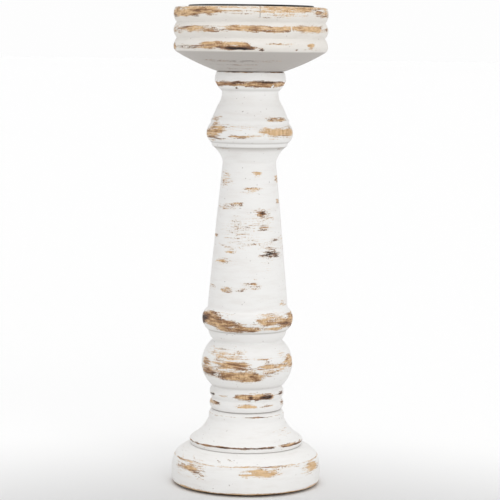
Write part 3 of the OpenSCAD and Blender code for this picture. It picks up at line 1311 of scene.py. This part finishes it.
@dataclass
class FeltFoot:
    """The felt disc under the foot.

    Attributes:
        node: Its CAD node.
        columns: Points round the axis.
        spacing: Distance between rows.
        seed: Seed of its own random numbers.
        corner: Rounding of its corners.
        fuzz: Height of its fuzz.
        inset: How far the middle of the fuzz lies inside the CAD surface.
    """

    node: str = "felt_disc"
    columns: int = 240
    spacing: float = 0.8
    seed: int = 43
    corner: float = 0.15
    fuzz: float = 0.03
    inset: float = 0.09

    def build(self) -> bpy.types.Object:
        """Cut the disc, with a slightly fuzzy face and edge.

        Returns:
            The felt, riding on the stand in place of its CAD node.
        """
        turned = TurnedMesh.even(self.node, self.corner, self.spacing, self.columns)
        rng = np.random.default_rng(self.seed)
        fuzz = self.fuzz * drift(rng, turned.shape, 1.0, 1.5)
        turned.swell = np.minimum(fuzz - self.inset, 0.0) * smooth_step(0, 3, turned.radius)
        piece = turned.build("glued_felt")
        piece.data.materials.append(BrownFelt().build())
        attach(piece, STAND)
        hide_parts(self.node)
        log.info("%s: %d points", piece.name, len(piece.data.vertices))
        return piece


@dataclass
class Fixings:
    """The screws and the washer, hidden in the wood."""

    nodes: tuple[str, ...] = ("base_screw", "base_washer", "cup_screw")

    def build(self) -> list[bpy.types.Object]:
        """Plate the CAD pieces with zinc.

        Returns:
            The plated pieces.
        """
        plating = ZincSteel().build()
        pieces = [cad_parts[node] for node in self.nodes]
        for piece in pieces:
            piece.data.materials.clear()
            piece.data.materials.append(plating)
            log.info("%s: zinc plated", piece.name)
        return pieces


@dataclass
class Candlestick:
    """The whole candlestick, from the felt up."""

    def plinth(self) -> Plinth:
        """The lower disc of the base.

        Returns:
            The disc, ready to be built.
        """
        scratches = tuple(
            Worn(middle - 0.3, middle + 0.3, bearing - 4, bearing + 4, Tone.MIXED, 0.45, 0.0, -0.35)
            for bearing, middle in ((-50.0, 22.6), (-22.0, 21.6), (-12.0, 22.2), (-64.0, 21.4))
        )
        places = (
            Worn(12.4, 18.4, -62, -40, Tone.WARM, 0.88, 0.1),
            Worn(10.6, 20.0, -76, -28, Tone.MIXED, 0.4),
            Worn(13.0, 17.6, 3, 23, Tone.BARE, 0.92),
            Worn(13.0, 15.4, -6, 4, Tone.MIXED, 0.75),
            Worn(12.0, 18.8, -4, 30, Tone.BARE, 0.3),
            Worn(12.4, 18.4, 54, 72, Tone.BARE, 0.88),
            Worn(11.0, 19.2, 44, 82, Tone.BARE, 0.35),
            Worn(17.4, 19.4, 20, 48, Tone.MIXED, 0.45),
        )
        crests = (Crest(6, 18, 6, 0.9, 5.0, 14.0), Crest(18.4, 19.8, 4, 0.6), Crest(4, 17, 4, 0.4, 3.0))
        return Plinth(
            "plinth",
            columns=384,
            seed=11,
            grain=Grain.ACROSS,
            spacing=0.8,
            places=places + scratches,
            crests=crests,
        )

    def moulding(self) -> BaseMoulding:
        """The upper disc of the base.

        Returns:
            The disc, ready to be built.
        """
        places = (
            Worn(46.6, 47.6, -75, 0, Tone.WARM, 0.4),
            Worn(46.6, 47.6, 0, 88, Tone.BROWN, 0.55),
            Worn(46.8, 47.7, 8, 28, Tone.BROWN, 0.6),
            Worn(33.0, 42.0, 36, 78, Tone.WARM, 0.14),
        )
        crests = (Crest(46.5, 47.6, 5, 0.6), Crest(33, 40, 3, 0.3, 3.0, 14.0))
        return BaseMoulding(
            "base_moulding",
            columns=352,
            seed=13,
            grain=Grain.ACROSS,
            spacing=0.7,
            places=places,
            crests=crests,
        )

    @staticmethod
    def _small_beads() -> tuple[Worn, ...]:
        """Worn places on the two small beads at the stem's foot.

        Returns:
            The worn places.
        """
        return (
            Worn(53.0, 56.6, -84, -46, Tone.BROWN, 0.55),
            Worn(53.4, 55.4, -18, 12, Tone.WARM, 0.65),
            Worn(53.4, 55.2, -4, 14, Tone.BARE, 0.85),
            Worn(53.0, 55.4, 22, 52, Tone.WARM, 0.5),
            Worn(53.0, 57.0, 62, 84, Tone.BROWN, 0.6),
            Worn(59.2, 61.8, -84, -54, Tone.BLACK, 0.75),
            Worn(59.4, 61.4, -54, -24, Tone.BROWN, 0.35),
            Worn(59.4, 61.8, -24, 0, Tone.WARM, 0.6),
            Worn(58.3, 62.3, -28, 50, Tone.WARM, 1.0, 0.1),
            Worn(58.7, 62.0, 22, 46, Tone.BLACK, 0.95),
            Worn(59.2, 61.6, 4, 10, Tone.BROWN, 0.9),
            Worn(59.8, 62.4, 56, 76, Tone.BROWN, 0.8),
        )

    @staticmethod
    def _ball() -> tuple[Worn, ...]:
        """Worn places on the ball.

        Returns:
            The worn places.
        """
        return (
            Worn(84.0, 92.4, -68, 2, Tone.BARE, 0.33),
            Worn(84.6, 89.0, -48, -14, Tone.BARE, 0.28),
            Worn(80.0, 84.6, -26, 0, Tone.WARM, 0.85),
            Worn(79.4, 85.6, -56, -22, Tone.WARM, 0.42),
            Worn(79.6, 85.2, -74, -54, Tone.MIXED, 0.8),
            Worn(85.3, 86.5, -38, 42, Tone.WARM, 0.6),
            Worn(82.0, 83.0, -60, 10, Tone.WARM, 0.45),
            Worn(72.8, 79.6, -84, -36, Tone.MIXED, 0.85, 0.15),
            Worn(71.2, 79.6, -44, 16, Tone.WARM, 1.0, 0.1),
            Worn(74.0, 77.5, 6, 16, Tone.BROWN, 0.75),
            Worn(74.0, 76.8, 10, 40, Tone.MIXED, 0.4),
            Worn(78.4, 84.0, 17, 38, Tone.WARM, 0.82),
            Worn(77.2, 82.8, 34, 56, Tone.WARM, 0.66),
            Worn(74.8, 78.6, 16, 44, Tone.WARM, 0.5),
            Worn(79.0, 89.0, 57, 82, Tone.WARM, 0.82),
            Worn(84.0, 91.0, 42, 62, Tone.BARE, 0.33),
        )

    @staticmethod
    def _ring() -> tuple[Worn, ...]:
        """Worn places on the ring.

        Returns:
            The worn places.
        """
        return (
            Worn(107.6, 114.8, -90, -38, Tone.BROWN, 0.92),
            Worn(109.2, 113.8, -82, -42, Tone.BLACK, 0.42),
            Worn(105.4, 111.2, -60, -10, Tone.MIXED, 0.9),
            Worn(103.6, 106.4, -46, 20, Tone.MIXED, 0.8),
            Worn(103.8, 107.6, -26, 60, Tone.WARM, 0.86, 0.1),
            Worn(106.0, 112.8, 10, 84, Tone.WARM, 0.9, 0.15),
            Worn(107.0, 109.8, 32, 58, Tone.BROWN, 0.75),
            Worn(110.0, 114.6, 60, 88, Tone.MIXED, 0.8),
            Worn(112.0, 116.2, -80, -14, Tone.WARM, 0.34),
            Worn(112.0, 116.0, 12, 84, Tone.WARM, 0.36),
        )

    @staticmethod
    def _column() -> tuple[Worn, ...]:
        """Worn places on the tapered column.

        Returns:
            The worn places.
        """
        return (
            Worn(203.4, 206.6, 0, 32, Tone.BARE, 0.75),
            Worn(202.6, 207.2, -2, 36, Tone.WARM, 0.3),
            Worn(193.0, 206.0, -80, -42, Tone.BARE, 0.4),
            Worn(194.5, 196.4, -12, 24, Tone.BARE, 0.5),
            Worn(192.0, 193.6, -26, 22, Tone.WARM, 0.32),
            Worn(184.0, 187.0, -36, -10, Tone.WARM, 0.6),
            Worn(184.2, 185.6, -18, -10, Tone.BROWN, 0.6),
            Worn(179.8, 184.8, -72, -20, Tone.WARM, 0.48),
            Worn(177.4, 180.8, 12, 30, Tone.WARM, 0.8),
            Worn(178.2, 180.6, 20, 30, Tone.BROWN, 0.8),
            Worn(174.5, 183.5, 8, 44, Tone.BROWN, 0.3),
            Worn(168.4, 171.6, 18, 36, Tone.BROWN, 0.5),
            Worn(169.8, 171.6, -38, -2, Tone.BROWN, 0.33),
            Worn(161.6, 165.4, -84, -64, Tone.WARM, 0.6),
            Worn(158.4, 159.8, -68, -38, Tone.MIXED, 0.4, 0.0, -0.08),
            Worn(153.0, 155.4, -48, -20, Tone.WARM, 0.75),
            Worn(146.8, 150.4, -70, -22, Tone.WARM, 0.66, 0.1),
            Worn(147.2, 149.6, -52, -36, Tone.WARM, 0.9),
            Worn(151.6, 157.4, 18, 52, Tone.BROWN, 0.5),
            Worn(152.8, 156.0, 26, 46, Tone.BLACK, 0.4),
            Worn(149.0, 160.0, 12, 58, Tone.BROWN, 0.21),
            Worn(160.6, 163.4, 34, 70, Tone.BROWN, 0.4),
            Worn(156.0, 166.0, 60, 84, Tone.WARM, 0.2),
            Worn(136.6, 138.4, 0, 20, Tone.BARE, 0.5),
            Worn(131.8, 136.4, -14, 28, Tone.WARM, 0.48),
            Worn(133.0, 135.8, 4, 18, Tone.BARE, 0.9),
            Worn(130.4, 131.8, -16, 22, Tone.BARE, 0.42),
            Worn(129.2, 130.6, -18, -6, Tone.MIXED, 0.4),
            Worn(129.0, 133.2, -86, -56, Tone.WARM, 0.5),
            Worn(128.2, 132.0, -46, -22, Tone.WARM, 0.65),
            Worn(118.0, 126.0, 46, 72, Tone.WARM, 0.4),
            Worn(119.6, 122.0, 52, 64, Tone.WARM, 0.5),
            Worn(198.5, 203.5, 66, 86, Tone.WARM, 0.6),
            Worn(185.2, 188.8, 60, 78, Tone.WARM, 0.6),
            Worn(140.0, 190.0, -70, 60, Tone.BROWN, 0.09),
            Worn(160.0, 178.0, -46, 12, Tone.BROWN, 0.19),
        )

    @staticmethod
    def _large_bead() -> tuple[Worn, ...]:
        """Worn places on the large bead and its fillets.

        Returns:
            The worn places.
        """
        return (
            Worn(220.4, 221.8, -64, -36, Tone.MIXED, 0.4),
            Worn(220.4, 221.8, 50, 66, Tone.MIXED, 0.4),
            Worn(226.8, 228.0, -60, -20, Tone.MIXED, 0.5),
            Worn(226.8, 228.0, 16, 50, Tone.MIXED, 0.5),
            Worn(226.6, 235.8, -88, -38, Tone.WARM, 0.78, 0.3),
            Worn(227.8, 230.6, -36, 20, Tone.MIXED, 0.52),
            Worn(228.8, 234.2, 20, 80, Tone.BARE, 0.92),
            Worn(227.4, 235.6, 14, 86, Tone.BARE, 0.3),
            Worn(233.4, 236.0, -50, 14, Tone.BARE, 0.27),
            Worn(239.2, 242.2, -82, -46, Tone.WARM, 0.6),
            Worn(238.4, 241.2, 22, 76, Tone.WARM, 0.5),
            Worn(238.6, 240.8, 42, 66, Tone.WARM, 0.7),
        )

    @staticmethod
    def _collar() -> tuple[Worn, ...]:
        """Worn places on the collar.

        Returns:
            The worn places.
        """
        return (
            Worn(259.4, 260.3, -28, -22, Tone.BLACK, 0.9),
            Worn(260.6, 264.0, 0, FULL_TURN, Tone.MIXED, 0.92),
            Worn(263.1, 264.3, -40, 70, Tone.BLACK, 0.5),
            Worn(270.0, 270.8, 0, FULL_TURN, Tone.BROWN, 0.9),
        )

    def stem(self) -> WoodenPiece:
        """The turned stem.

        Returns:
            The stem, ready to be built.
        """
        lower = self._small_beads() + self._ball() + self._ring()
        upper = self._column() + self._large_bead() + self._collar()
        crests = (
            Crest(53, 57, 6, 0.7),
            Crest(59, 62.5, 6),
            Crest(72, 91, 14, 0.9, 4.5),
            Crest(104, 115, 10, 1.0, 6.0),
            Crest(118, 207, 24, 0.75, 2.6, 15.0),
            Crest(118, 207, 16, 0.4, 7.0, 22.0),
            Crest(227, 235, 8),
            Crest(238.6, 241.8, 4, 0.7),
        )
        drips = (Drip(57.7, 10, 1.3, 1.5), Drip(229.8, 22, 2.0, 1.2), Drip(261.0, 42, 1.2, 1.2))
        return WoodenPiece(
            "stem",
            columns=240,
            seed=17,
            grain=Grain.ALONG_AXIS,
            spacing=0.72,
            places=lower + upper,
            crests=crests,
            drips=drips,
        )

    @staticmethod
    def _cup_rim() -> tuple[Worn, ...]:
        """Worn places on the cup's top bead.

        Returns:
            The worn places.
        """
        return (
            Worn(305.2, 310.6, -86, -38, Tone.WARM, 0.95, 0.35),
            Worn(306.4, 310.2, -42, -22, Tone.MIXED, 0.85),
            Worn(307.2, 309.2, -30, 10, Tone.WARM, 0.55),
            Worn(306.2, 307.4, -20, 8, Tone.BROWN, 0.55),
            Worn(309.6, 311.6, -78, 82, Tone.BARE, 0.6),
            Worn(306.8, 311.2, 5, 56, Tone.BARE, 0.62),
            Worn(304.6, 307.0, 6, 52, Tone.BARE, 0.46),
            Worn(303.9, 304.9, 4, 34, Tone.BROWN, 0.6),
            Worn(304.8, 310.6, 50, 84, Tone.WARM, 0.95),
            Worn(305.4, 306.6, 52, 78, Tone.BROWN, 0.7),
        )

    @staticmethod
    def _cup_middle() -> tuple[Worn, ...]:
        """Worn places on the cup's middle bead.

        Returns:
            The worn places.
        """
        return (
            Worn(295.0, 299.8, -86, -22, Tone.MIXED, 0.5),
            Worn(295.8, 299.4, -62, -40, Tone.WARM, 0.75),
            Worn(295.2, 297.2, -36, -12, Tone.MIXED, 0.5),
            Worn(296.8, 299.4, -24, -6, Tone.BARE, 0.5),
            Worn(295.8, 299.3, -15, 32, Tone.WARM, 0.88, 0.15),
            Worn(295.0, 296.6, 6, 30, Tone.MIXED, 0.6),
            Worn(295.4, 299.4, 31, 68, Tone.WARM, 0.92, 0.1),
            Worn(295.0, 299.2, 62, 84, Tone.MIXED, 0.55),
        )

    @staticmethod
    def _cup_lower() -> tuple[Worn, ...]:
        """Worn places on the cup's lower bead.

        Returns:
            The worn places.
        """
        return (
            Worn(284.4, 288.2, -86, -72, Tone.WARM, 0.75),
            Worn(285.0, 287.4, -76, -40, Tone.BLACK, 0.52),
            Worn(286.4, 289.6, -42, 2, Tone.WARM, 0.95),
            Worn(284.4, 287.0, -38, 8, Tone.MIXED, 0.75),
            Worn(284.2, 286.2, -17, 4, Tone.BLACK, 0.9),
            Worn(283.6, 284.6, 6, 10, Tone.BLACK, 1.0),
            Worn(284.0, 284.8, 34, 37, Tone.BLACK, 1.0),
            Worn(287.5, 288.5, 0, 36, Tone.WARM, 0.45),
            Worn(284.4, 285.2, 38, 70, Tone.MIXED, 0.4),
            Worn(285.2, 288.4, 46, 54, Tone.WARM, 0.9, 0.2),
        )

    @staticmethod
    def _cup_underside() -> tuple[Worn, ...]:
        """Worn places on the cup's underside.

        Returns:
            The worn places.
        """
        return (
            Worn(276.4, 278.2, -52, 26, Tone.BROWN, 0.38),
            Worn(273.8, 275.4, -54, 18, Tone.BROWN, 0.33),
            Worn(271.4, 273.0, -44, 12, Tone.BROWN, 0.4),
        )

    def cup(self) -> Cup:
        """The cup.

        Returns:
            The cup, ready to be built.
        """
        return Cup(
            "cup",
            columns=400,
            seed=19,
            grain=Grain.ACROSS,
            spacing=0.62,
            places=self._cup_rim() + self._cup_middle() + self._cup_lower() + self._cup_underside(),
            crests=(Crest(284.2, 289.2, 9, 1.0), Crest(294.8, 299.4, 9, 1.0), Crest(304.4, 310.6, 9, 1.0)),
            drips=(Drip(297.3, 30.5, 2.4, 0.5, 0.1),),
        )

    def build(self) -> None:
        """Build every piece, from the felt up."""
        FeltFoot().build()
        self.plinth().build()
        self.moulding().build()
        self.stem().build()
        self.cup().build()
        CandlePan().build()
        Fixings().build()


@dataclass
class Studio:
    """The pale floor, the soft lights and the camera. Lengths here are metres, but for the lens.

    Attributes:
        floor_reach: Radius of the floor.
        floor_steps: Number of its corners.
        pool_centre: Where its painted shadow, a greyer middle that also cuts the light bounced up onto the
            object, lies along Y, in front of the object.
        pool_inner: Distance from there at which the floor starts to whiten.
        pool_outer: Distance at which it is white.
        front_light: How high the front light stands and its bearing, in degrees, and its strength.
        top_light: The same for the light overhead.
        softness: How wide each light looks, in degrees.
        sky_low: Brightness of the white room low down.
        sky_high: Brightness of it high up.
        sky_turn: Where it starts to darken and where it stops, as heights on a sphere of radius one.
        focal_length: The lens, in millimetres.
        sensor: Width of the camera's sensor, in millimetres.
        far_clip: Farthest distance that the camera sees.
        distance: Distance of the camera in front of the axis.
        eye_height: Height of the camera.
        side_step: How far the camera stands to the right.
        pitch: How far it looks down, in degrees.
        roll: How far it leans, in degrees.
    """

    floor_reach: float = 40.0
    floor_steps: int = 96
    pool_centre: float = -0.42
    pool_inner: float = 0.2
    pool_outer: float = 0.6
    front_light: tuple[float, float, float] = (18.0, 16.0, 0.78)
    top_light: tuple[float, float, float] = (84.0, 0.0, 0.8)
    softness: float = 50.0
    sky_low: float = 0.985
    sky_high: float = 0.66
    sky_turn: tuple[float, float] = (0.06, 0.3)
    focal_length: float = 144.0
    sensor: float = 36.0
    far_clip: float = 50.0
    distance: float = 1.3012
    eye_height: float = 0.2873
    side_step: float = 0.0011
    pitch: float = 5.852
    roll: float = 0.7

    # Grey of the painted shadow pool near the object, and the white of the floor far away
    FLOOR_PAINTED_SHADOW = (0.58, 0.58, 0.58, 1.0)
    FLOOR_FAR = (0.99, 0.99, 0.99, 1.0)

    def build(self) -> None:
        """Set up the studio."""
        self.floor()
        self.sky()
        self.lamp("front_light", self.front_light)
        self.lamp("top_light", self.top_light)
        self.camera()
        bpy.context.scene.view_settings.view_transform = "Standard"
        bpy.context.scene.view_settings.look = "None"
        log.info("studio: floor, sky, two lights and camera")

    def floor(self) -> bpy.types.Object:
        """A round pale floor with a painted grey shadow pool in front of the object, whitening with
        distance so that it has no far edge.

        Returns:
            The floor.
        """
        around = [math.tau * step / self.floor_steps for step in range(self.floor_steps)]
        reach = self.floor_reach
        verts = [(reach * math.cos(turn), reach * math.sin(turn), 0.0) for turn in around]
        mesh = bpy.data.meshes.new("floor")
        mesh.from_pydata(verts, [], [tuple(range(self.floor_steps))])
        floor = bpy.data.objects.new("floor", mesh)
        bpy.context.scene.collection.objects.link(floor)
        bench = NodeBench("pale_floor")
        x, y, _ = bench.split()
        along = bench.math("SUBTRACT", y, self.pool_centre)
        squares = bench.math("ADD", bench.math("MULTIPLY", x, x), bench.math("MULTIPLY", along, along))
        away = bench.math("SQRT", squares)
        # Painted shadow pool: grey near the object, whitening outwards
        whitening = bench.step(away, self.pool_inner, self.pool_outer)
        pale = bench.blend(whitening, self.FLOOR_PAINTED_SHADOW, self.FLOOR_FAR)
        bench.link(pale, bench.shader.inputs["Base Color"])
        bench.shader.inputs["Roughness"].default_value = 0.9
        bench.shader.inputs["Specular IOR Level"].default_value = 0.0
        floor.data.materials.append(bench.material)
        return floor

    def sky(self) -> None:
        """White light from all round, brightest low down."""
        world = bpy.data.worlds.new("white_room")
        world.use_nodes = True
        tree = world.node_tree
        background = tree.nodes["Background"]
        background.inputs["Color"].default_value = (1.0, 1.0, 1.0, 1.0)
        place = tree.nodes.new("ShaderNodeTexCoord")
        split = tree.nodes.new("ShaderNodeSeparateXYZ")
        tree.links.new(place.outputs["Generated"], split.inputs["Vector"])
        rise = tree.nodes.new("ShaderNodeMapRange")
        rise.interpolation_type = "SMOOTHSTEP"
        rise.inputs["From Min"].default_value = self.sky_turn[0]
        rise.inputs["From Max"].default_value = self.sky_turn[1]
        rise.inputs["To Min"].default_value = self.sky_low
        rise.inputs["To Max"].default_value = self.sky_high
        tree.links.new(split.outputs["Z"], rise.inputs["Value"])
        tree.links.new(rise.outputs["Result"], background.inputs["Strength"])
        bpy.context.scene.world = world

    def lamp(self, name: str, aim: tuple[float, float, float]) -> bpy.types.Object:
        """A very soft distant light.

        Args:
            name: Name of the light.
            aim: How high it stands and its bearing, in degrees, and its strength.

        Returns:
            The light.
        """
        height, bearing, strength = aim
        light = bpy.data.lights.new(name, "SUN")
        light.energy = strength
        light.angle = math.radians(self.softness)
        lamp = bpy.data.objects.new(name, light)
        turn, rise = math.radians(bearing), math.radians(height)
        level = math.cos(rise)
        towards = Vector((math.sin(turn) * level, -math.cos(turn) * level, math.sin(rise)))
        lamp.rotation_euler = towards.to_track_quat("Z", "Y").to_euler()
        bpy.context.scene.collection.objects.link(lamp)
        return lamp

    def camera(self) -> bpy.types.Object:
        """A long lens at the height of the cup, looking a little down.

        Returns:
            The camera, which is also the scene's camera.
        """
        lens = bpy.data.cameras.new("camera")
        lens.lens = self.focal_length
        lens.sensor_width = self.sensor
        lens.clip_end = self.far_clip
        camera = bpy.data.objects.new("camera", lens)
        tilt = Matrix.Rotation(math.radians(90 - self.pitch), 4, "X")
        lean = Matrix.Rotation(math.radians(self.roll), 4, "Z")
        place = Matrix.Translation((self.side_step, -self.distance, self.eye_height))
        camera.matrix_world = place @ tilt @ lean
        bpy.context.scene.collection.objects.link(camera)
        bpy.context.scene.camera = camera
        return camera


def main() -> None:
    """Build the candlestick and its studio."""
    logging.basicConfig(level=logging.INFO, format="%(message)s")
    Candlestick().build()
    Studio().build()


if __name__ == "__main__":
    main()
